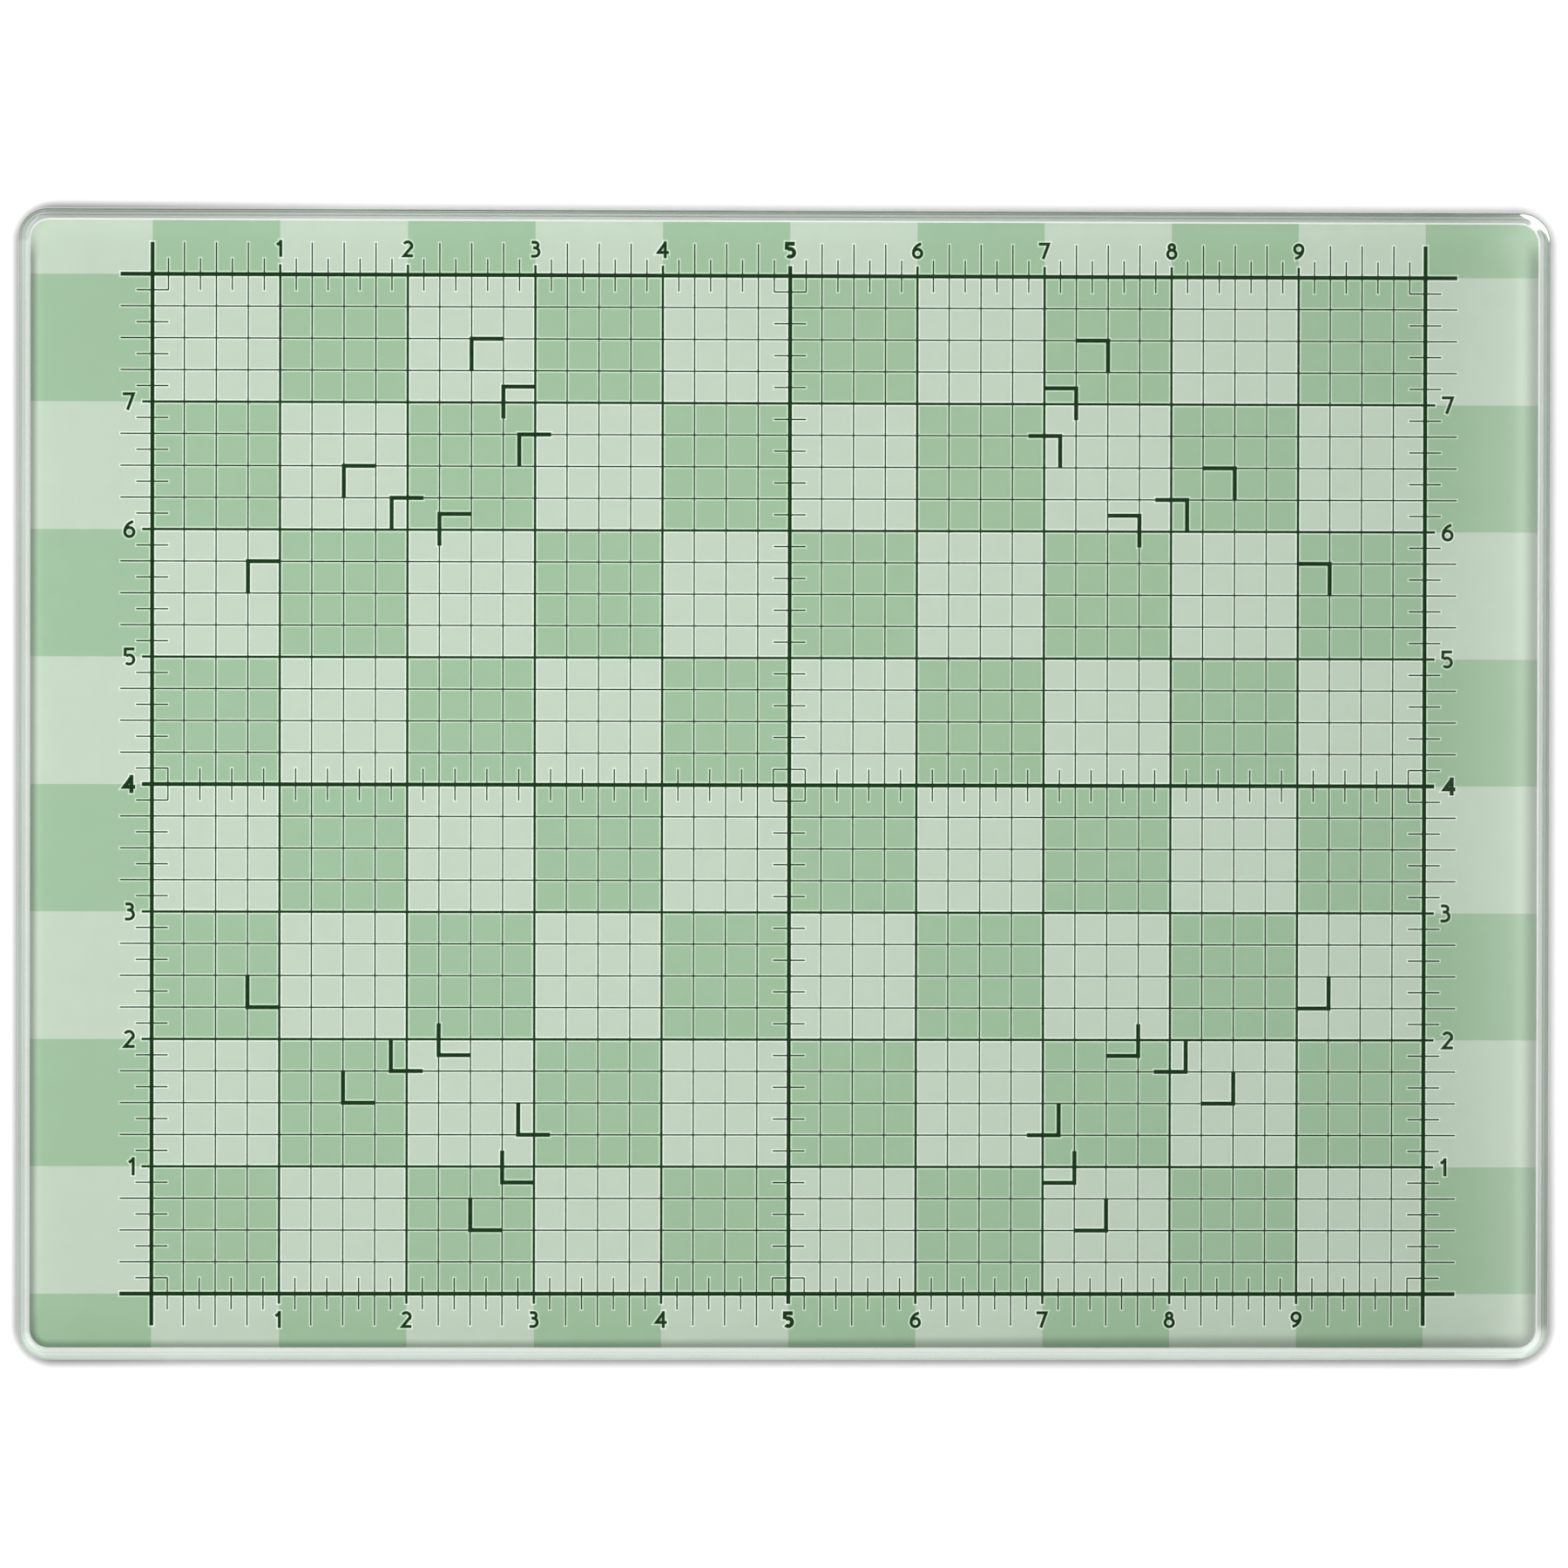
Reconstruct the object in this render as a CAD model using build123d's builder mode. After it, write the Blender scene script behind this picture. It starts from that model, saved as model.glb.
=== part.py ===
from build123d import *
import math
import os

# Reverse-printed tempered glass craft mat: a clear plate that carries its ruled
# grid on the underside, a white coat behind the print and four clear bumper feet.
# Millimetres. Origin on the floor under the middle of the mat, +X along its
# length, +Y towards its back edge, +Z up.

inch = 25.4

# glass plate
over_size = 0.6  # the plate is cut a little over its nominal inches
plate_length = 12 * inch + over_size
plate_width = 9 * inch + over_size
plate_thickness = 4.0
plate_corner = 6.0
edge_round = 1.9  # pencil-round polish on the top and bottom edge

# printed films, stacked downwards from the glass
film = 0.04  # thickness of one pass of ink
print_inset = 2.3  # clear rim between the green print and the plate's edge
white_border = 0.35  # the white coat shows this far round the green print
grid_shift = 0.8  # the grid sits this far right of the plate's middle
registration = 0.06  # bare gap between two neighbouring check squares

# ruled grid of one-inch cells
columns = 10
rows = 8
frame_line = 0.78
inch_line = 0.46
fine_line = 0.26
frame_overrun = 6.35  # frame and quarter-inch lines run on past the frame
inch_overrun = 2.0  # inch and centre lines run on past the frame
tick_length = 6.35  # eighth-inch ticks, across the frame and centre lines

# corner marks of common card sizes, in inches of length and width
card_sizes = [(5, 7), (4.5, 6.25), (4.25, 5.5), (7, 5), (6.25, 4.5), (5.5, 4.25), (8.5, 3.5)]
card_line = 0.8
card_arm = 6.35

# ruler numerals
numeral_height = 3.35  # above and below the frame
numeral_height_beside = 3.6  # left and right of it
numeral_pen = 0.58
numeral_bold_pen = 0.78  # the middle numeral of each edge
numeral_above = 5.15  # numeral's middle to the top or bottom frame line
numeral_gap = 3.35  # left or right frame line to the numeral's near side

# bumper feet
foot_diameter = 12.7
foot_height = 3.3
foot_skirt = 0.6  # straight side above the domed part
sole_diameter = 8.6
foot_inset = 17.0  # foot's middle to the plate's edges
adhesive = 0.2
adhesive_margin = 0.3

# heights from the floor up
backing_level = foot_height + adhesive
ground_level = backing_level + film
check_level = ground_level + film
crosswise_level = check_level + film
lengthwise_level = crosswise_level + film
mark_level = lengthwise_level + film
plate_level = mark_level + film

grid_length = columns * inch
grid_width = rows * inch
eighth = inch / 8
print_length = plate_length - 2 * print_inset
print_width = plate_width - 2 * print_inset
print_corner = plate_corner - print_inset
margin_columns = math.ceil(((print_length - grid_length) / 2 + abs(grid_shift)) / inch)
margin_rows = math.ceil((print_width - grid_width) / 2 / inch)


def save(builder, label):
    """Name a finished piece and write it to its own file."""
    builder.part.label = label
    export_step(builder.part, f"parts/{label}.step")


def stroke(pen, *points):
    """One straight or angled pen stroke in the open sketch."""
    with BuildLine() as path:
        Polyline(*points)
    trace(path.line, line_width=pen)


def bow(pen, middle, radius, start, turn):
    """One round pen stroke in the open sketch; angles in degrees."""
    with BuildLine() as path:
        CenterArc(middle, radius, start, turn)
    trace(path.line, line_width=pen)


def ring(pen, middle, radius):
    """One closed round pen stroke in the open sketch."""
    with Locations(middle):
        Circle(radius + pen / 2)
        Circle(radius - pen / 2, mode=Mode.SUBTRACT)


def numeral(value, height, pen):
    """One ruler numeral drawn with pen strokes, its middle at the origin."""
    top = (height - pen) / 2
    bottom = -top
    side = 0.65 * top  # half the width of a numeral
    lower = 0.6 * top  # radius of the large, lower bowl
    upper = top - lower  # radius of the small, upper bowl
    waist = bottom + 2 * lower
    with BuildSketch(mode=Mode.PRIVATE) as glyph:
        if value == 1:
            stroke(pen, (0.1 * side, height / 2), (0.1 * side, -height / 2))
            stroke(pen, (-0.75 * side, 0.5 * top), (0.1 * side, 0.92 * top))
        elif value == 2:
            bow(pen, (-0.05 * side, top - 0.9 * side), 0.9 * side, 150, -185)
            stroke(pen, (0.75 * side, 0.25 * top), (-0.85 * side, bottom), (1.1 * side, bottom))
        elif value == 3:
            stroke(pen, (-0.85 * side, top), (-0.05 * side, top))
            bow(pen, (-0.05 * side, top - upper), upper, 90, -180)
            stroke(pen, (-0.5 * side, waist), (-0.05 * side, waist))
            bow(pen, (-0.15 * side, bottom + lower), lower, 90, -180)
            stroke(pen, (-0.95 * side, bottom), (-0.15 * side, bottom))
        elif value == 4:
            stroke(pen, (0.5 * side, height / 2), (0.5 * side, -height / 2))
            stroke(pen, (0.5 * side, 0.95 * top), (-1.02 * side, 0.4 * bottom), (1.3 * side, 0.4 * bottom))
        elif value == 5:
            stroke(pen, (1.05 * side, top), (-0.8 * side, top), (-0.85 * side, 0.05 * top))
            bow(pen, (0, bottom + lower), lower, 135, -270)
        elif value == 7:
            stroke(pen, (-1.3 * side, top), (0.85 * side, top), (-0.35 * side, -0.47 * height))
        elif value == 8:
            ring(pen, (0, bottom + lower), lower)
            ring(pen, (0, top - upper), upper)
        else:
            ring(pen, (0, bottom + lower), lower)
            bow(pen, (1.335 * lower, bottom + lower), 2.335 * lower, 180, -78)
    return glyph.sketch.rotate(Axis.Z, 180) if value == 9 else glyph.sketch


os.makedirs("parts", exist_ok=True)

# The glass: one plate, its edges ground and polished round.
with BuildPart() as glass_plate:
    with BuildSketch(Plane.XY.offset(plate_level)):
        RectangleRounded(plate_length, plate_width, plate_corner)
    extrude(amount=plate_thickness)
    fillet(glass_plate.faces().filter_by(Axis.Z).edges(), edge_round)
save(glass_plate, "glass_plate")

# Lengthwise rules: frame and centre line, inch rules, quarter-inch rules, and the
# eighth-inch ticks across the upright frame and centre lines.
with BuildPart() as lengthwise_rules:
    with BuildSketch(Plane.XY.offset(lengthwise_level)):
        with Locations((grid_shift, 0)):
            with GridLocations(grid_length / 2, 2 * eighth, 3, 4 * rows):
                Rectangle(tick_length, fine_line)
            for step in (-2 * eighth, 0, 2 * eighth):
                with Locations((0, step)):
                    with GridLocations(inch, inch, 1, rows):
                        Rectangle(grid_length + 2 * frame_overrun, fine_line)
            with GridLocations(inch, inch, 1, rows - 1):
                Rectangle(grid_length + 2 * inch_overrun, inch_line)
            Rectangle(grid_length + 2 * inch_overrun, frame_line)
            with GridLocations(grid_length, grid_width, 1, 2):
                Rectangle(grid_length + 2 * frame_overrun, frame_line)
    extrude(amount=film)
save(lengthwise_rules, "lengthwise_rules")

# Crosswise rules, the same the other way.
with BuildPart() as crosswise_rules:
    with BuildSketch(Plane.XY.offset(crosswise_level)):
        with Locations((grid_shift, 0)):
            with GridLocations(2 * eighth, grid_width / 2, 4 * columns, 3):
                Rectangle(fine_line, tick_length)
            for step in (-2 * eighth, 0, 2 * eighth):
                with Locations((step, 0)):
                    with GridLocations(inch, inch, columns, 1):
                        Rectangle(fine_line, grid_width + 2 * frame_overrun)
            with GridLocations(inch, inch, columns - 1, 1):
                Rectangle(inch_line, grid_width + 2 * inch_overrun)
            Rectangle(frame_line, grid_width + 2 * inch_overrun)
            with GridLocations(grid_length, grid_width, 2, 1):
                Rectangle(frame_line, grid_width + 2 * frame_overrun)
    extrude(amount=film)
save(crosswise_rules, "crosswise_rules")

# Card corners: one angle at each corner of each card size, arms pointing inward.
with BuildPart() as card_marks:
    with BuildSketch(Plane.XY.offset(mark_level)):
        for card_length, card_width in card_sizes:
            with Locations((grid_shift, 0)):
                with GridLocations(card_length * inch, card_width * inch, 2, 2):
                    Rectangle(card_line, card_line)
            for side_x in (-1, 1):
                for side_y in (-1, 1):
                    corner_x = grid_shift + side_x * card_length * inch / 2
                    corner_y = side_y * card_width * inch / 2
                    with Locations((corner_x - side_x * card_arm / 2, corner_y)):
                        Rectangle(card_arm, card_line)
                    with Locations((corner_x, corner_y - side_y * card_arm / 2)):
                        Rectangle(card_line, card_arm)
    extrude(amount=film)
save(card_marks, "card_marks")

# Ruler numerals along all four sides of the frame, the middle ones bold.
with BuildPart() as numerals:
    with BuildSketch(Plane.XY.offset(mark_level)):
        for value in range(1, columns):
            pen = numeral_bold_pen if 2 * value == columns else numeral_pen
            along = grid_shift - grid_length / 2 + value * inch
            for side in (-1, 1):
                with Locations((along, side * (grid_width / 2 + numeral_above))):
                    add(numeral(value, numeral_height, pen))
        for value in range(1, rows):
            pen = numeral_bold_pen if 2 * value == rows else numeral_pen
            along = value * inch - grid_width / 2
            glyph = numeral(value, numeral_height_beside, pen)
            extent = glyph.bounding_box()
            for side, near in ((-1, extent.max.X), (1, extent.min.X)):
                with Locations((grid_shift + side * (grid_length / 2 + numeral_gap) - near, along)):
                    add(glyph)
    extrude(amount=film)
save(numerals, "numerals")

# Check squares: every second inch cell, running on to the edge of the print.
with BuildPart() as check_print:
    with BuildSketch(Plane.XY.offset(check_level)):
        for column in range(-margin_columns, columns + margin_columns):
            for row in range(-margin_rows, rows + margin_rows):
                if (column + row) % 2 == 0:
                    middle_x = grid_shift - grid_length / 2 + (column + 0.5) * inch
                    middle_y = (row + 0.5) * inch - grid_width / 2
                    with Locations((middle_x, middle_y)):
                        Rectangle(inch - registration, inch - registration)
        RectangleRounded(print_length, print_width, print_corner, mode=Mode.INTERSECT)
    extrude(amount=film)
save(check_print, "check_print")

# Ground tint under the whole print, then the white coat that closes it.
with BuildPart() as ground_print:
    with BuildSketch(Plane.XY.offset(ground_level)):
        RectangleRounded(print_length, print_width, print_corner)
    extrude(amount=film)
save(ground_print, "ground_print")

with BuildPart() as white_backing:
    with BuildSketch(Plane.XY.offset(backing_level)):
        RectangleRounded(print_length, print_width, print_corner)
        offset(amount=white_border)
    extrude(amount=film)
save(white_backing, "white_backing")

# Bumper feet: clear domed pads with a flat sole, each on its own adhesive disc.
for place_y, end in ((-1, "front"), (1, "back")):
    for place_x, hand in ((-1, "left"), (1, "right")):
        foot_x = place_x * (plate_length / 2 - foot_inset)
        foot_y = place_y * (plate_width / 2 - foot_inset)
        with BuildPart() as foot:
            with BuildSketch(Plane.XZ):
                with BuildLine():
                    skirt = Polyline((sole_diameter / 2, 0), (0, 0), (0, foot_height),
                                     (foot_diameter / 2, foot_height),
                                     (foot_diameter / 2, foot_height - foot_skirt))
                    TangentArc(skirt @ 1, skirt @ 0, tangent=(0, -1))
                make_face()
            revolve(axis=Axis.Z)
        foot.part = foot.part.moved(Location((foot_x, foot_y, 0)))
        save(foot, f"foot_{end}_{hand}")
        with BuildPart() as adhesive_disc:
            with BuildSketch(Plane.XY.offset(foot_height)):
                with Locations((foot_x, foot_y)):
                    Circle(foot_diameter / 2 - adhesive_margin)
            extrude(amount=adhesive)
        save(adhesive_disc, f"adhesive_{end}_{hand}")
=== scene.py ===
import math

import bmesh
import bpy
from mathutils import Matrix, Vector
from mathutils.geometry import delaunay_2d_cdt


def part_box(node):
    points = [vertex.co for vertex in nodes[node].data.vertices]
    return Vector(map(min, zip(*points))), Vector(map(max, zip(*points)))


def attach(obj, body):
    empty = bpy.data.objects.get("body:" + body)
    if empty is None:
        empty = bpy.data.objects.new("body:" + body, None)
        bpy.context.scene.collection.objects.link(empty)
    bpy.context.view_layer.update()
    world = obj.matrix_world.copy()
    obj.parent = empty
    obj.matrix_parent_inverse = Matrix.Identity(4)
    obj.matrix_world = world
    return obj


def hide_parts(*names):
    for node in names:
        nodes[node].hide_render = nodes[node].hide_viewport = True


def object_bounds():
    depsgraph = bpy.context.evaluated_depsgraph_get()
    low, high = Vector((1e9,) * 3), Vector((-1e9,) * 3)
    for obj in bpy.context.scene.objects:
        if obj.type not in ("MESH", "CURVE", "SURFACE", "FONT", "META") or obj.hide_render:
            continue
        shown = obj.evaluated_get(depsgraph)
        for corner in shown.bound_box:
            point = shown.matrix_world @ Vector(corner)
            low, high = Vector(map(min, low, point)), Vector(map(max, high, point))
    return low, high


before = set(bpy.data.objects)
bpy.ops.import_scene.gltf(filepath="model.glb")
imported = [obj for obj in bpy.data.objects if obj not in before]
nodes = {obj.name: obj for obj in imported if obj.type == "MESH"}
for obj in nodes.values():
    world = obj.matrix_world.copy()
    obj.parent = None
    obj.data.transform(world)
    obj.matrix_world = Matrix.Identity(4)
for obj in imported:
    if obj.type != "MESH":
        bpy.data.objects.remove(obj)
cadLow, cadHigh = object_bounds()
mm = 0.001

plateLow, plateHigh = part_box("glass_plate")
printLow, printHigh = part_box("ground_print")
backingLow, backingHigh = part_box("white_backing")
print("frame loaded with", len(nodes), "nodes")


# the plate's own sizes, which the glass, the print's edge and the light through the rim share
glass = {
    "corner": 6.0 * mm,
    "edgeRound": 1.9 * mm,
    "rollWidth": 8.0 * mm,  # the top starts to fall away this far from the edge
    "rollDrop": 0.10 * mm,
    "innerCorner": 9.0 * mm,  # corner radius where the roll begins
    "wobble": 0.05 * mm,  # how far hand grinding strays, always inwards
    "cornerSteps": 24,
    "sideSteps": 60,
    "rollSteps": 10,
    "roundSteps": 16,  # down each half of the rounded edge
    "ior": 1.52,
    "tint": (0.955, 0.985, 0.965, 1.0),
    "rimTint": (0.87, 0.97, 0.885, 1.0),
    "paintedLineTint": (0.02, 0.03, 0.02, 1.0),  # painted shade: fine dark lines round the rim, standing in for the dark bands its rounded edge refracts
    "paintedLines": ((0.48 * mm, 0.16 * mm, 1.0),  # each one's inset, width and strength
              (0.95 * mm, 0.28 * mm, 0.5),
              (1.66 * mm, 0.20 * mm, 0.6)),
    "paintedLineShare": (0.40, 1.0, 0.55),  # how strong they are: everywhere, along the back, at the right
    "paintedLineReach": (5 * mm, 2 * mm),  # that strength begins and is full this far from the back or right
    "paintedLineFade": 0.3 * mm,  # they fade out over this height, above the middle of the plate
    "tintEdge": (1.8 * mm, 2.2 * mm),  # the rim's tint gives way to the plate's here
    "windowEdge": (0.9 * mm, 1.4 * mm),  # lamps shine straight through from here inwards
}


class Sig:  # a shader socket that sums can be written on
    def __init__(self, finish, socket):
        self.finish = finish
        self.socket = socket

    def maths(self, operation, *values):
        return self.finish.node("Math", {"operation": operation}, dict(enumerate(values)))

    def __add__(self, other):
        return self.maths("ADD", self, other)

    def __radd__(self, other):
        return self.maths("ADD", other, self)

    def __sub__(self, other):
        return self.maths("SUBTRACT", self, other)

    def __rsub__(self, other):
        return self.maths("SUBTRACT", other, self)

    def __mul__(self, other):
        return self.maths("MULTIPLY", self, other)

    def __rmul__(self, other):
        return self.maths("MULTIPLY", other, self)

    def __truediv__(self, other):
        return self.maths("DIVIDE", self, other)

    def __abs__(self):
        return self.maths("ABSOLUTE", self)

    def __pow__(self, other):
        return self.maths("POWER", self, other)

    def least(self, other):
        return self.maths("MINIMUM", self, other)

    def most(self, other):
        return self.maths("MAXIMUM", self, other)

    def root(self):
        return self.maths("SQRT", self)


class Finish:  # a material and the nodes in it
    def __init__(self, name, tree=None):
        self.material = None
        if tree is None:
            self.material = bpy.data.materials.new(name)
            self.material.use_nodes = True
            tree = self.material.node_tree
        self.tree = tree
        self.tree.nodes.clear()

    def node(self, kind, settings=None, inputs=None, output=0):
        made = self.tree.nodes.new("ShaderNode" + kind)
        for key, value in (settings or {}).items():
            if key == "stops":  # a ramp's stops, each (place, grey)
                while len(made.color_ramp.elements) < len(value):
                    made.color_ramp.elements.new(0.5)
                for element, (place, grey) in zip(made.color_ramp.elements, value):
                    element.position = place
                    element.color = (grey, grey, grey, 1)
            else:
                setattr(made, key, value)
        for key, value in (inputs or {}).items():
            if isinstance(value, Sig):
                self.tree.links.new(value.socket, made.inputs[key])
            else:
                made.inputs[key].default_value = value
        return None if output is None else Sig(self, made.outputs[output])

    def place(self):  # the point in metres
        return self.node("TexCoord", output="Object")

    def fromRim(self):  # how far inside the plate's outline the point lies
        x, y, _ = self.axes(self.place())
        past = abs(x) - (plateHigh.x - plateLow.x) / 2 + glass["corner"]
        beyond = abs(y) - (plateHigh.y - plateLow.y) / 2 + glass["corner"]
        outside = (past.most(0) ** 2 + beyond.most(0) ** 2).root()
        return glass["corner"] - outside - past.most(beyond).least(0)

    def axes(self, vector):
        return [self.node("SeparateXYZ", {}, {0: vector}, axis) for axis in ("X", "Y", "Z")]

    def noise(self, scale, detail=3.0, roughness=0.5, vector=None):
        inputs = {"Vector": vector or self.place(), "Scale": scale, "Detail": detail, "Roughness": roughness}
        return self.node("TexNoise", {}, inputs, "Fac")

    def span(self, value, low, high, toLow=0.0, toHigh=1.0, ease="SMOOTHSTEP"):
        inputs = {"Value": value, "From Min": low, "From Max": high, "To Min": toLow, "To Max": toHigh}
        return self.node("MapRange", {"interpolation_type": ease}, inputs)

    def mix(self, factor, first, second, blend="MIX"):  # of two colours
        inputs = {0: factor, 6: first, 7: second}
        return self.node("Mix", {"data_type": "RGBA", "blend_type": blend}, inputs, 2)

    def dim(self, colour, factor):  # a colour times a number
        grey = self.node("CombineColor", {}, {0: factor, 1: factor, 2: factor})
        return self.mix(1.0, colour, grey, "MULTIPLY")

    def principled(self, inputs):
        return self.node("BsdfPrincipled", {}, inputs)

    def letLampsThrough(self, surface, window=1.0):  # lamps and soft light pass clear glass unbent
        for ray in ("Is Diffuse Ray", "Is Shadow Ray"):
            passing = self.node("LightPath", output=ray) * window
            surface = self.node("MixShader", {}, {0: passing, 1: surface, 2: self.node("BsdfTransparent")})
        return surface

    def output(self, surface, kind="OutputMaterial"):
        self.node(kind, {}, {"Surface": surface}, None)
        return self.material


def colour(red, green, blue):  # from the 0 to 255 numbers of a colour picker
    def linear(value):
        value /= 255
        return value / 12.92 if value <= 0.04045 else ((value + 0.055) / 1.055) ** 2.4
    return (linear(red), linear(green), linear(blue), 1.0)


def dress(name, material):  # gives a CAD node its finish
    mesh = nodes[name].data
    mesh.materials.clear()
    mesh.materials.append(material)


def addPiece(name, builder, material):  # turns a bmesh into a piece of the mat
    mesh = bpy.data.meshes.new(name)
    bmesh.ops.recalc_face_normals(builder, faces=builder.faces)
    builder.to_mesh(mesh)
    builder.free()
    mesh.materials.append(material)
    piece = bpy.data.objects.new(name, mesh)
    bpy.context.scene.collection.objects.link(piece)
    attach(piece, "root")
    return piece


# camera
view = {
    "place": (-0.00651, 0.00281, 0.65),
    "tilt": (-0.2285, -0.5559, 0.1127),
    "lens": 74.17,
}
camera = bpy.data.objects.new("camera", bpy.data.cameras.new("camera"))
camera.location = view["place"]
camera.rotation_euler = [math.radians(angle) for angle in view["tilt"]]
camera.data.lens = view["lens"]
camera.data.sensor_width = 36
camera.data.clip_start = 0.01
bpy.context.scene.collection.objects.link(camera)
bpy.context.scene.camera = camera
bpy.context.scene.view_settings.view_transform = "Standard"
print("camera set")


# floor, world and lamps
studio = {
    "floorSize": 6.0,
    "floorAlbedo": 0.90,
    "floorGlow": 1.2,  # seen only, so that the paper stays white where no shadow falls
    "glowInOpen": 0.5,  # share of it that shows on the open floor
    "glowBegins": (1.3 * mm, 3.6 * mm),  # none of it and all of it this far outside the mat, so the paper nearest the mat stays darker, a painted shadow band
    "throughFront": 0.55,  # painted light: share of it seen through the clear rim along each side, setting each side's rim brightness
    "throughLeft": 0.36,
    "throughBack": (0.25, 0.05),  # at the left end and at the right end of that side
    "throughRight": 0.15,
    "rimZone": (3 * mm, 8 * mm),  # each side's share holds this near its edge and ends here
    "contactShade": 0.55,  # painted shadow: share of the paper's white left in the corner between mat and floor
    "contactSides": (1.0, 0.6),  # how much of it shows along the left and the front
    "cornerSpot": (3.47 * mm, 1.35 * mm, 1.75 * mm),  # painted highlight: a bright spot of glowing paper seen through the back right corner; inset, full, end
    "worldLight": 0.26,
    "ceiling": 0.04,
    "horizon": 0.9,
    "domeFades": (0.80, 0.97),  # from the horizon's brightness to the ceiling's, by height
    "sideWindow": (0.205, 0.250, 4.0),  # begins and is full at these slants to the right; brightness
    "leftGlow": (0.235, 0.26, 1.4),
    "windowFades": (0.30, 0.45),
}
lamps = {
    # name: place, size, watts, seen in reflections
    "main": ((-0.20, 0.01, 0.42), 0.45, 1.54, False),
    "key": ((0.10, 0.07, 0.42), 0.28, 0.56, False),
    "corner": ((0.62, 0.48, 0.62), 0.10, 0.50, True),
}

floorMesh = bpy.data.meshes.new("floor")
half = studio["floorSize"] / 2
corners = [(-half, -half), (half, -half), (half, half), (-half, half)]
floorMesh.from_pydata([(x, y, cadLow.z) for x, y in corners], [], [(0, 1, 2, 3)])
floor = bpy.data.objects.new("floor", floorMesh)
bpy.context.scene.collection.objects.link(floor)
paper = Finish("paper floor")
seen = paper.node("LightPath", output="Is Camera Ray")
seenThrough = paper.node("LightPath", output="Is Transmission Ray")
albedo = studio["floorAlbedo"]
plain = paper.node("BsdfDiffuse", {}, {"Color": (albedo, albedo, albedo, 1)})
albedo *= studio["contactShade"]
shaded = paper.node("BsdfDiffuse", {}, {"Color": (albedo, albedo, albedo, 1)})
# the glow is held back near the mat, which paints a darker band round it
glowShare = paper.span(-1 * paper.fromRim(), *studio["glowBegins"], 0, 1, "LINEAR")
x, y, _ = paper.axes(paper.place())
leftContact, frontContact = studio["contactSides"]
# painted shadow on the paper along the mat's left and front edges, fading where the glow begins
contact = paper.span(x, plateLow.x, plateLow.x / 2, leftContact, 0)
contact = contact.most(paper.span(y, plateLow.y, plateLow.y / 2, frontContact, 0)) * (1 - glowShare)
lit = paper.node("MixShader", {}, {0: contact, 1: plain, 2: shaded})
near, far = studio["rimZone"]
throughFront = studio["throughFront"]
# painted light seen through the rim, side by side
through = paper.span(x - plateLow.x, near, far, studio["throughLeft"], throughFront)
backShare = paper.span(x, plateLow.x, plateHigh.x, *studio["throughBack"], "LINEAR")
through = through.least(backShare.most(paper.span(plateHigh.y - y, near, far, 0, throughFront)))
through = through.least(paper.span(plateHigh.x - x, near, far, studio["throughRight"], throughFront))
through = through.most(paper.span(y - plateLow.y, near, far, throughFront, 0))
# painted highlight at the back right corner, seen only through the glass
inset, spotFull, spotEnd = studio["cornerSpot"]
fromSpot = ((x - (plateHigh.x - inset)) ** 2 + (y - (plateHigh.y - inset)) ** 2).root()
spot = paper.span(fromSpot, spotFull, spotEnd, 1, 0)
factor = (seen * glowShare * studio["glowInOpen"]).most(seenThrough * through.most(spot))
shine = paper.node("Emission", {}, {"Strength": studio["floorGlow"]})
glowing = paper.node("AddShader", {}, {0: lit, 1: shine})
floorMesh.materials.append(paper.output(paper.node("MixShader", {}, {0: factor, 1: lit, 2: glowing})))

world = bpy.data.worlds.new("studio")
world.use_nodes = True
bpy.context.scene.world = world
sky = Finish("studio", world.node_tree)
right, _, up = sky.axes(sky.node("TexCoord", output="Generated"))
mirrored = sky.node("LightPath", output="Is Glossy Ray")
watched = sky.node("LightPath", output="Is Camera Ray")
dome = sky.span(up, *studio["domeFades"], studio["horizon"], studio["ceiling"])
for slant, (begin, full, brightness) in ((right, studio["sideWindow"]), (-1 * right, studio["leftGlow"])):
    glow = sky.span(slant, begin, full, 0, brightness)
    dome = dome + glow * sky.span(slant, *studio["windowFades"], 1, 0)
soft = studio["worldLight"]
level = soft + mirrored * (dome - soft) + watched * (1 - soft)
sky.output(sky.node("Background", {}, {"Strength": level}), "OutputWorld")

for name, (place, size, watts, reflected) in lamps.items():
    lamp = bpy.data.lights.new(name, "AREA")
    lamp.size = size
    lamp.energy = watts
    softbox = bpy.data.objects.new(name, lamp)
    softbox.location = place
    softbox.rotation_euler = (-Vector(place)).to_track_quat("-Z", "Y").to_euler()
    softbox.visible_glossy = reflected
    softbox.visible_camera = False
    softbox.visible_transmission = False  # no bright rings under the rim
    bpy.context.scene.collection.objects.link(softbox)
print("studio lit")


# inks
ink = {
    "ground": colour(202, 219, 200),
    "check": colour(165, 197, 164),
    "dark": colour(10, 48, 12),
    "keylineOnGround": colour(240, 252, 238),
    "keylineOnCheck": colour(212, 236, 210),
    "white": colour(247, 249, 246),
    "mottle": 0.05,
    "edgeShadeDepth": 0.50,  # painted shade: the inks are darkened along the print's edge, to this share of their colour
    "edgeReach": (1.9 * mm, 3.4 * mm),  # how far in, at the left and at the right end
    "backEdge": (8 * mm, 2 * mm),  # and not at all this near the back edge
    "frontShade": (0.89, 10 * mm),  # a little painted shade along the front too, this share at the edge, fading out this far in
    "coatShare": 0.35,  # how much of the painted edge shade the white coat takes
    "darkMottle": 0.25,
    "whiteMottle": 0.03,
    "roughness": 0.55,
    "specular": 0.2,
}
inch = 25.4 * mm
gridMiddle = (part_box("lengthwise_rules")[0].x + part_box("lengthwise_rules")[1].x) / 2


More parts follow.
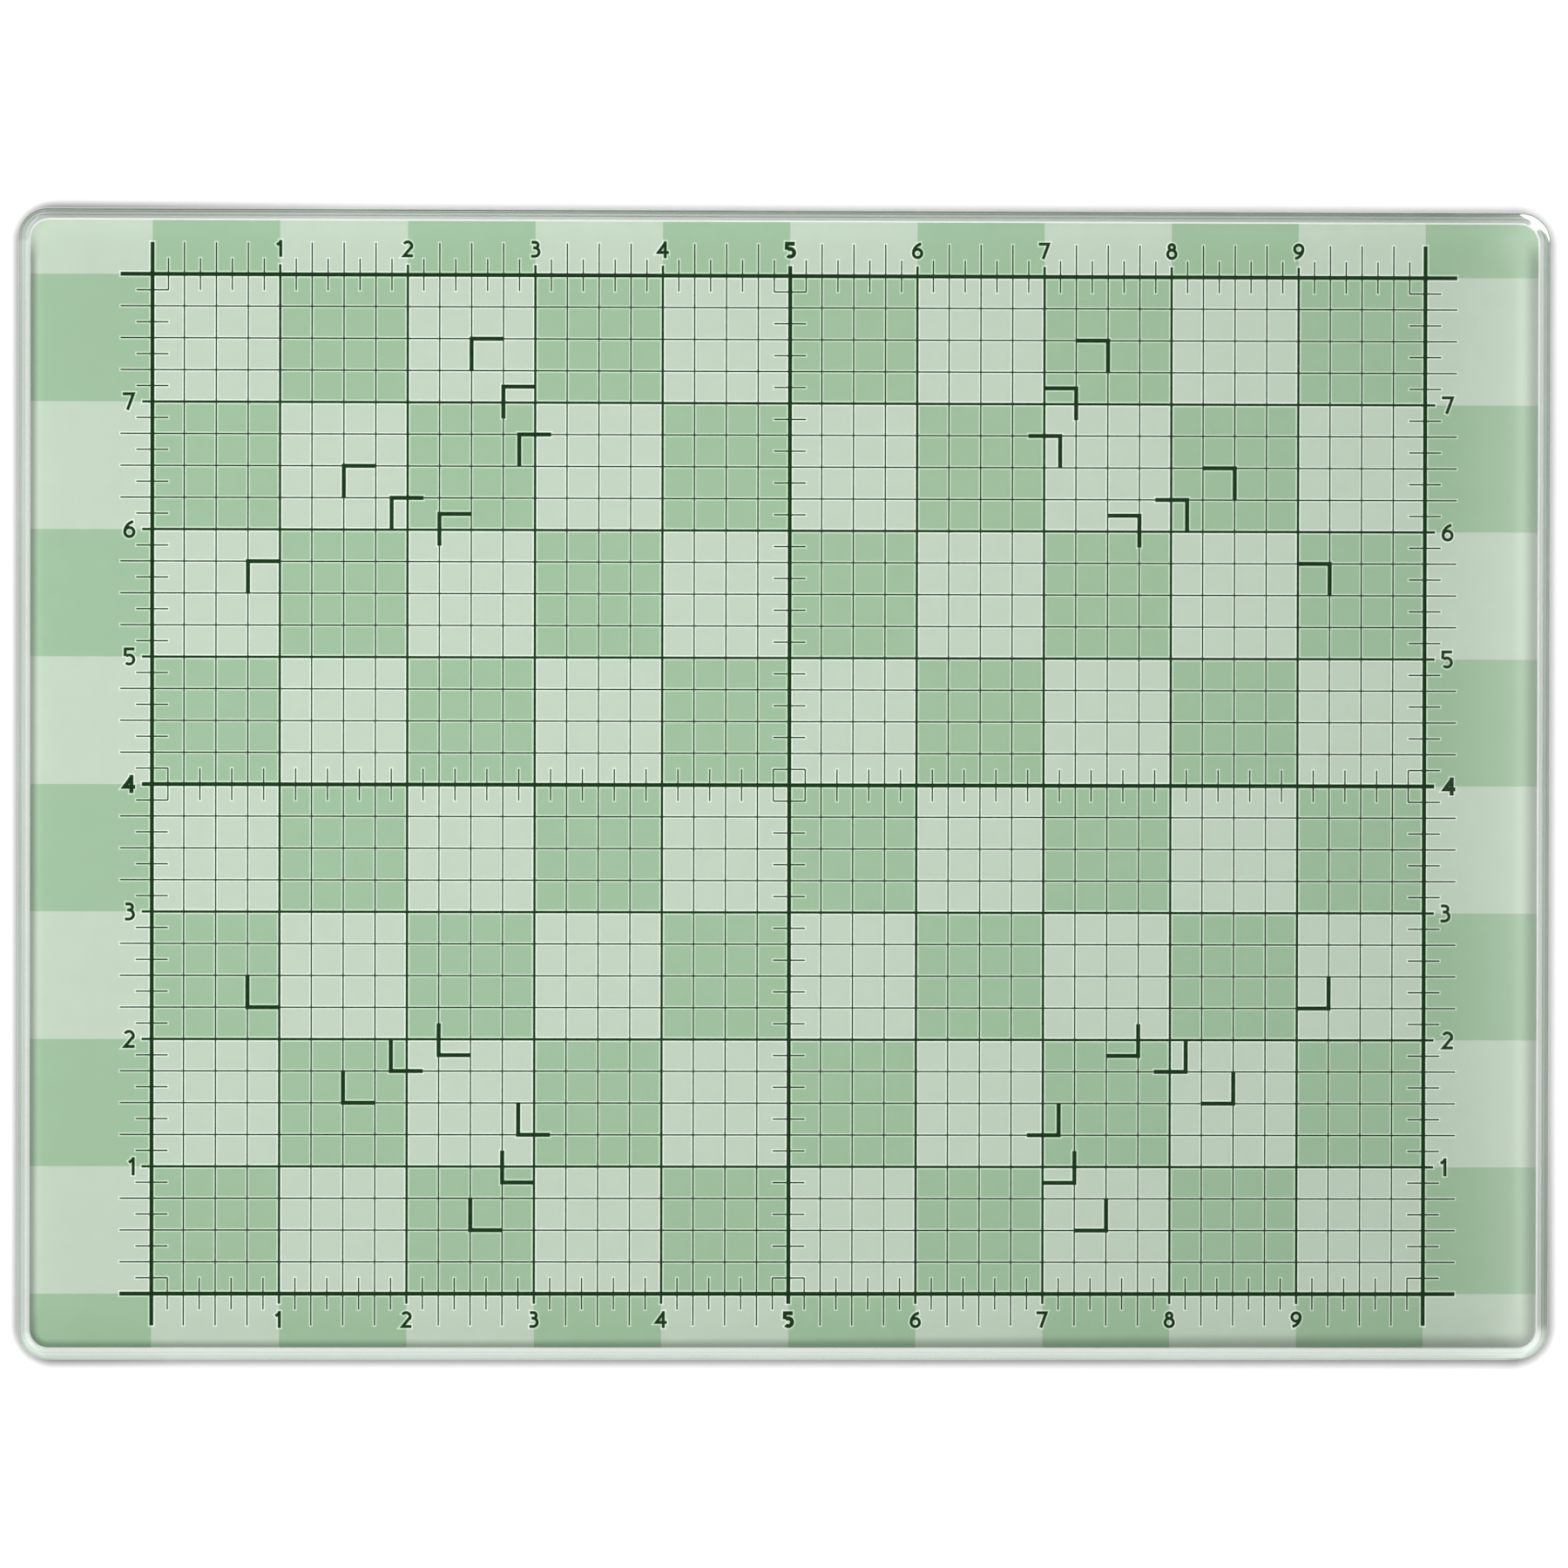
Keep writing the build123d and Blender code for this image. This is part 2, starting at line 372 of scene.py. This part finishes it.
def edgeShade(f):  # painted shade: how much darker the ink is made along the print's edge and the front
    x, y, _ = f.axes(f.place())
    reach = f.span(x, printLow.x / 2, printHigh.x, *ink["edgeReach"])
    inwards = (f.fromRim() - (printLow.x - plateLow.x)) / reach
    backBegins, backEnds = ink["backEdge"]
    paintedShade = f.span(y, printHigh.y - backBegins, printHigh.y - backEnds, 1 - ink["edgeShadeDepth"], 0)
    # painted shade along the front margin
    tone, depth = ink["frontShade"]
    front = f.span(y, printLow.y, printLow.y + depth, tone, 1)
    return (1 - paintedShade * f.span(inwards, 0.1, 1, 1, 0)) * front


def printedInk(name, tint, mottle, onCheck=None, edgeShadeShare=0):  # flat ink behind glass, finely cloudy
    f = Finish(name)
    cloud = f.noise(220.0, 4.0) * 0.6 + f.noise(2600.0, 2.0) * 0.4
    tone = 1 + (cloud - 0.5) * (2 * mottle)
    # painted shade along the print's edge
    if edgeShadeShare:
        tone = tone * (1 - (1 - edgeShade(f)) * edgeShadeShare)
    if onCheck:  # another tint over every second inch cell
        x, y, _ = f.axes(f.place())
        cells = f.node("CombineXYZ", {}, {0: (x - gridMiddle) / inch, 1: y / inch, 2: 0.5})
        tint = f.mix(f.node("TexChecker", {}, {"Vector": cells, "Scale": 1.0}, "Fac"), tint, onCheck)
    inputs = {"Roughness": ink["roughness"], "Specular IOR Level": ink["specular"]}
    return f.output(f.principled({"Base Color": f.dim(tint, tone), **inputs}))


groundInk = printedInk("pale green ink", ink["ground"], ink["mottle"], edgeShadeShare=1)
checkInk = printedInk("mid green ink", ink["check"], ink["mottle"], edgeShadeShare=1)
darkInk = printedInk("dark green ink", ink["dark"], ink["darkMottle"])
keylineInk = printedInk("keyline ink", ink["keylineOnGround"], ink["mottle"], ink["keylineOnCheck"])
whiteInk = printedInk("white backing ink", ink["white"], ink["whiteMottle"], edgeShadeShare=ink["coatShare"])
dress("ground_print", groundInk)
dress("check_print", checkInk)
for name in ("lengthwise_rules", "crosswise_rules", "card_marks", "numerals"):
    dress(name, darkInk)
dress("white_backing", whiteInk)
print("inks mixed")


# keyline: a thin pale edge round every dark line and numeral
keyline = {
    "wide": 0.30 * mm,
    "narrow": 0.25 * mm,
    "fineLine": 0.30 * mm,  # lines thinner than this take the narrow edge
    "sunk": 0.01 * mm,  # how far it reaches into the check print
    "flat": 0.001,  # faces within this angle are one face while the outline grows
    "weld": 0.002,  # corners nearer than this many mm become one
    "lift": {  # above the check print, each a little over the one before where they cross
        "crosswise_rules": 0.010 * mm,
        "lengthwise_rules": 0.018 * mm,
        "card_marks": 0.026 * mm,
        "numerals": 0.026 * mm,
    },
}
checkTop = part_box("check_print")[1].z


def islands(builder):  # the separate solids of a mesh, as lists of vertices
    left = set(builder.verts)
    while left:
        todo = [left.pop()]
        island = list(todo)
        while todo:
            for edge in todo.pop().link_edges:
                for vert in edge.verts:
                    if vert in left:
                        left.remove(vert)
                        island.append(vert)
                        todo.append(vert)
        yield island


def growSideways(vert, margin):  # the mitred step outwards of one corner of a flat solid
    sides = []
    for face in vert.link_faces:
        normal = face.normal
        if abs(normal.z) < 0.5 and all((normal - other).length > 1e-4 for other in sides):
            sides.append(normal.copy())
    step = Vector((0, 0, 0))
    for normal in sides:
        step += normal
    if len(sides) > 1:
        step /= 1 + sides[0].dot(sides[1])
    return step * margin


def turnsRound(point, sides):  # how many times directed sides run round a point
    turns = 0
    for start, end in sides:
        lean = (end.x - start.x) * (point.y - start.y) - (point.x - start.x) * (end.y - start.y)
        if start.y <= point.y < end.y and lean > 0:
            turns += 1
        elif end.y <= point.y < start.y and lean < 0:
            turns -= 1
    return turns


def addSlab(builder, corners, pairs, low, high):  # a flat solid in an outline, its folded loops left out
    flat, _, triangles, *_ = delaunay_2d_cdt(corners, pairs, [], 0, keyline["weld"])
    sides = [(corners[start], corners[end]) for start, end in pairs]
    kept = [three for three in triangles
            if turnsRound(sum((flat[i] for i in three), Vector((0, 0))) / 3, sides) > 0]
    used = sorted({i for three in kept for i in three})
    top = {i: builder.verts.new((flat[i].x * mm, flat[i].y * mm, high)) for i in used}
    bottom = {i: builder.verts.new((flat[i].x * mm, flat[i].y * mm, low)) for i in used}
    edges = [(three[k], three[(k + 1) % 3]) for three in kept for k in range(3)]
    shared = set(edges)
    for three in kept:
        builder.faces.new([top[i] for i in three])
        builder.faces.new([bottom[i] for i in reversed(three)])
    for start, end in edges:
        if (end, start) not in shared:
            builder.faces.new((bottom[start], bottom[end], top[end], top[start]))


for name, lift in keyline["lift"].items():
    inked = bmesh.new()
    inked.from_mesh(nodes[name].data)
    bmesh.ops.remove_doubles(inked, verts=inked.verts, dist=1e-6)
    bmesh.ops.dissolve_limit(inked, angle_limit=keyline["flat"], verts=inked.verts, edges=inked.edges)
    inked.normal_update()
    inked.verts.index_update()
    grown = bmesh.new()
    for island in sorted(islands(inked), key=lambda verts: min(vert.index for vert in verts)):
        xs = [vert.co.x for vert in island]
        ys = [vert.co.y for vert in island]
        thinnest = min(max(xs) - min(xs), max(ys) - min(ys))
        margin = keyline["narrow"] if thinnest < keyline["fineLine"] else keyline["wide"]
        here = set(island)
        loops = [loop for face in inked.faces if face.normal.z > 0.5 and face.verts[0] in here
                 for loop in face.loops if any(abs(side.normal.z) < 0.5 for side in loop.edge.link_faces)]
        order = {loop.vert: place for place, loop in enumerate(loops)}
        corners = [((loop.vert.co + growSideways(loop.vert, margin)) / mm).to_2d() for loop in loops]
        pairs = [(order[loop.vert], order[loop.link_loop_next.vert]) for loop in loops]
        addSlab(grown, corners, pairs, checkTop - keyline["sunk"], checkTop + lift)
    inked.free()
    addPiece(name + "_keyline", grown, keylineInk)
print("keylines laid")


# glass plate
def rimLoop(builder, inset, z, radius, wobble):  # one ring of corners round the plate
    width = plateHigh.x - plateLow.x - 2 * inset
    depth = plateHigh.y - plateLow.y - 2 * inset
    centre = (plateHigh + plateLow) / 2
    points = []
    quarters = [(1, 1, 0), (-1, 1, 90), (-1, -1, 180), (1, -1, 270)]
    arcs = []
    for signX, signY, start in quarters:
        middle = Vector((signX * (width / 2 - radius), signY * (depth / 2 - radius), 0))
        arc = []
        for step in range(glass["cornerSteps"] + 1):
            angle = math.radians(start + 90 * step / glass["cornerSteps"])
            arc.append(middle + Vector((math.cos(angle), math.sin(angle), 0)) * radius)
        arcs.append(arc)
    for index, arc in enumerate(arcs):
        points += arc
        following = arcs[(index + 1) % 4][0]
        for step in range(1, glass["sideSteps"]):
            points.append(arc[-1].lerp(following, step / glass["sideSteps"]))
    verts = []
    for index, point in enumerate(points):
        turn = 2 * math.pi * index / len(points)
        wave = 0.5 + 0.25 * math.sin(23 * turn + 40 * inset / mm) + 0.25 * math.sin(57 * turn + 1.3)
        inward = -point.normalized() * wobble * wave
        verts.append(builder.verts.new((centre.x + point.x + inward.x, centre.y + point.y + inward.y, z)))
    return verts


def rimProfile():  # inset, height, corner radius and wobble, from the flat top round to the bottom
    bottom = (backingLow.z + backingHigh.z) / 2  # in the white coat, so that glass and print meet
    bend = glass["edgeRound"]
    rows = []
    for step in range(glass["rollSteps"] + 1):
        share = step / glass["rollSteps"]
        inset = glass["rollWidth"] + (bend - glass["rollWidth"]) * share
        radius = glass["innerCorner"] + (glass["corner"] - bend - glass["innerCorner"]) * share
        rows.append((inset, plateHigh.z - glass["rollDrop"] * share ** 2, radius, 0))
    for step in range(1, glass["roundSteps"] + 1):
        angle = math.radians(90 * step / glass["roundSteps"])
        inset = bend * (1 - math.sin(angle))
        height = plateHigh.z - bend + (bend - glass["rollDrop"]) * math.cos(angle)
        rows.append((inset, height, glass["corner"] - inset, glass["wobble"] * math.sin(2 * angle)))
    for step in range(glass["roundSteps"] + 1):
        angle = math.radians(90 * step / glass["roundSteps"])
        inset = bend * (1 - math.cos(angle))
        height = bottom + bend * (1 - math.sin(angle))
        rows.append((inset, height, glass["corner"] - inset, glass["wobble"] * math.sin(2 * angle)))
    return rows


plate = bmesh.new()
loops = [rimLoop(plate, *row) for row in rimProfile()]
for upper, lower in zip(loops, loops[1:]):
    for index in range(len(upper)):
        following = (index + 1) % len(upper)
        plate.faces.new((upper[index], lower[index], lower[following], upper[following]))
plate.faces.new(loops[0])
plate.faces.new(reversed(loops[-1]))
for face in plate.faces:
    face.smooth = True


def paintedRimLines(f):  # painted shade: where dark lines are painted on the top of the rim, from 0 to 1
    x, y, z = f.axes(f.place())
    inwards = f.fromRim()
    lines = 0
    for place, width, strength in glass["paintedLines"]:
        lines = f.span(abs(inwards - place), 0.3 * width, width, strength, 0) + lines
    middle = (plateLow.z + plateHigh.z) / 2
    lines = lines * f.span(z, middle, middle + glass["paintedLineFade"])
    everywhere, back, right = glass["paintedLineShare"]
    begin, full = glass["paintedLineReach"]
    share = f.span(y, plateHigh.y - begin, plateHigh.y - full, everywhere, back)
    share = share.most(f.span(x, plateHigh.x - begin, plateHigh.x - full, 0, right))
    return lines * share * (0.7 + 0.6 * f.noise(160.0, 2.0))


f = Finish("clear polished glass")
rim = f.span(f.fromRim(), *glass["tintEdge"], 1, 0)
tint = f.mix(rim, glass["tint"], glass["rimTint"])
# the rim's painted dark lines darken its tint
tint = f.mix(paintedRimLines(f).least(1), tint, glass["paintedLineTint"])
body = f.principled({"Base Color": tint, "Roughness": 0.0, "IOR": glass["ior"], "Transmission Weight": 1.0})
window = f.span(f.fromRim(), *glass["windowEdge"])
clearGlass = f.output(f.letLampsThrough(body, window))
plateGlass = addPiece("polished_plate", plate, clearGlass)
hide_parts("glass_plate")
print("glass plate polished")


# feet
feet = {
    "tint": (0.93, 0.94, 0.93, 1.0),
    "adhesiveTint": (0.88, 0.89, 0.87, 1.0),
    "polish": (0.10, 0.16),  # roughness of the bumpers, between these
    "ior": 1.49,
    "clearness": 0.9,
}
f = Finish("clear bumper")
cloud = f.noise(900.0, 2.0)  # moulded softly, so faintly cloudy and unevenly polished
bumperTint = f.dim(feet["tint"], 0.96 + 0.06 * cloud)
polish = f.span(cloud, 0.3, 0.7, *feet["polish"])
body = f.principled({"Base Color": bumperTint, "Roughness": polish, "IOR": feet["ior"],
                     "Transmission Weight": feet["clearness"]})
bumper = f.output(f.letLampsThrough(body))
f = Finish("adhesive film")
grain = f.noise(3000.0, 2.0)
body = f.principled({"Base Color": f.dim(feet["adhesiveTint"], 0.95 + 0.1 * grain), "Roughness": 0.4})
glue = f.output(body)
for name in nodes:
    if name.startswith("foot_"):
        dress(name, bumper)
    if name.startswith("adhesive_"):
        dress(name, glue)
print("feet finished")
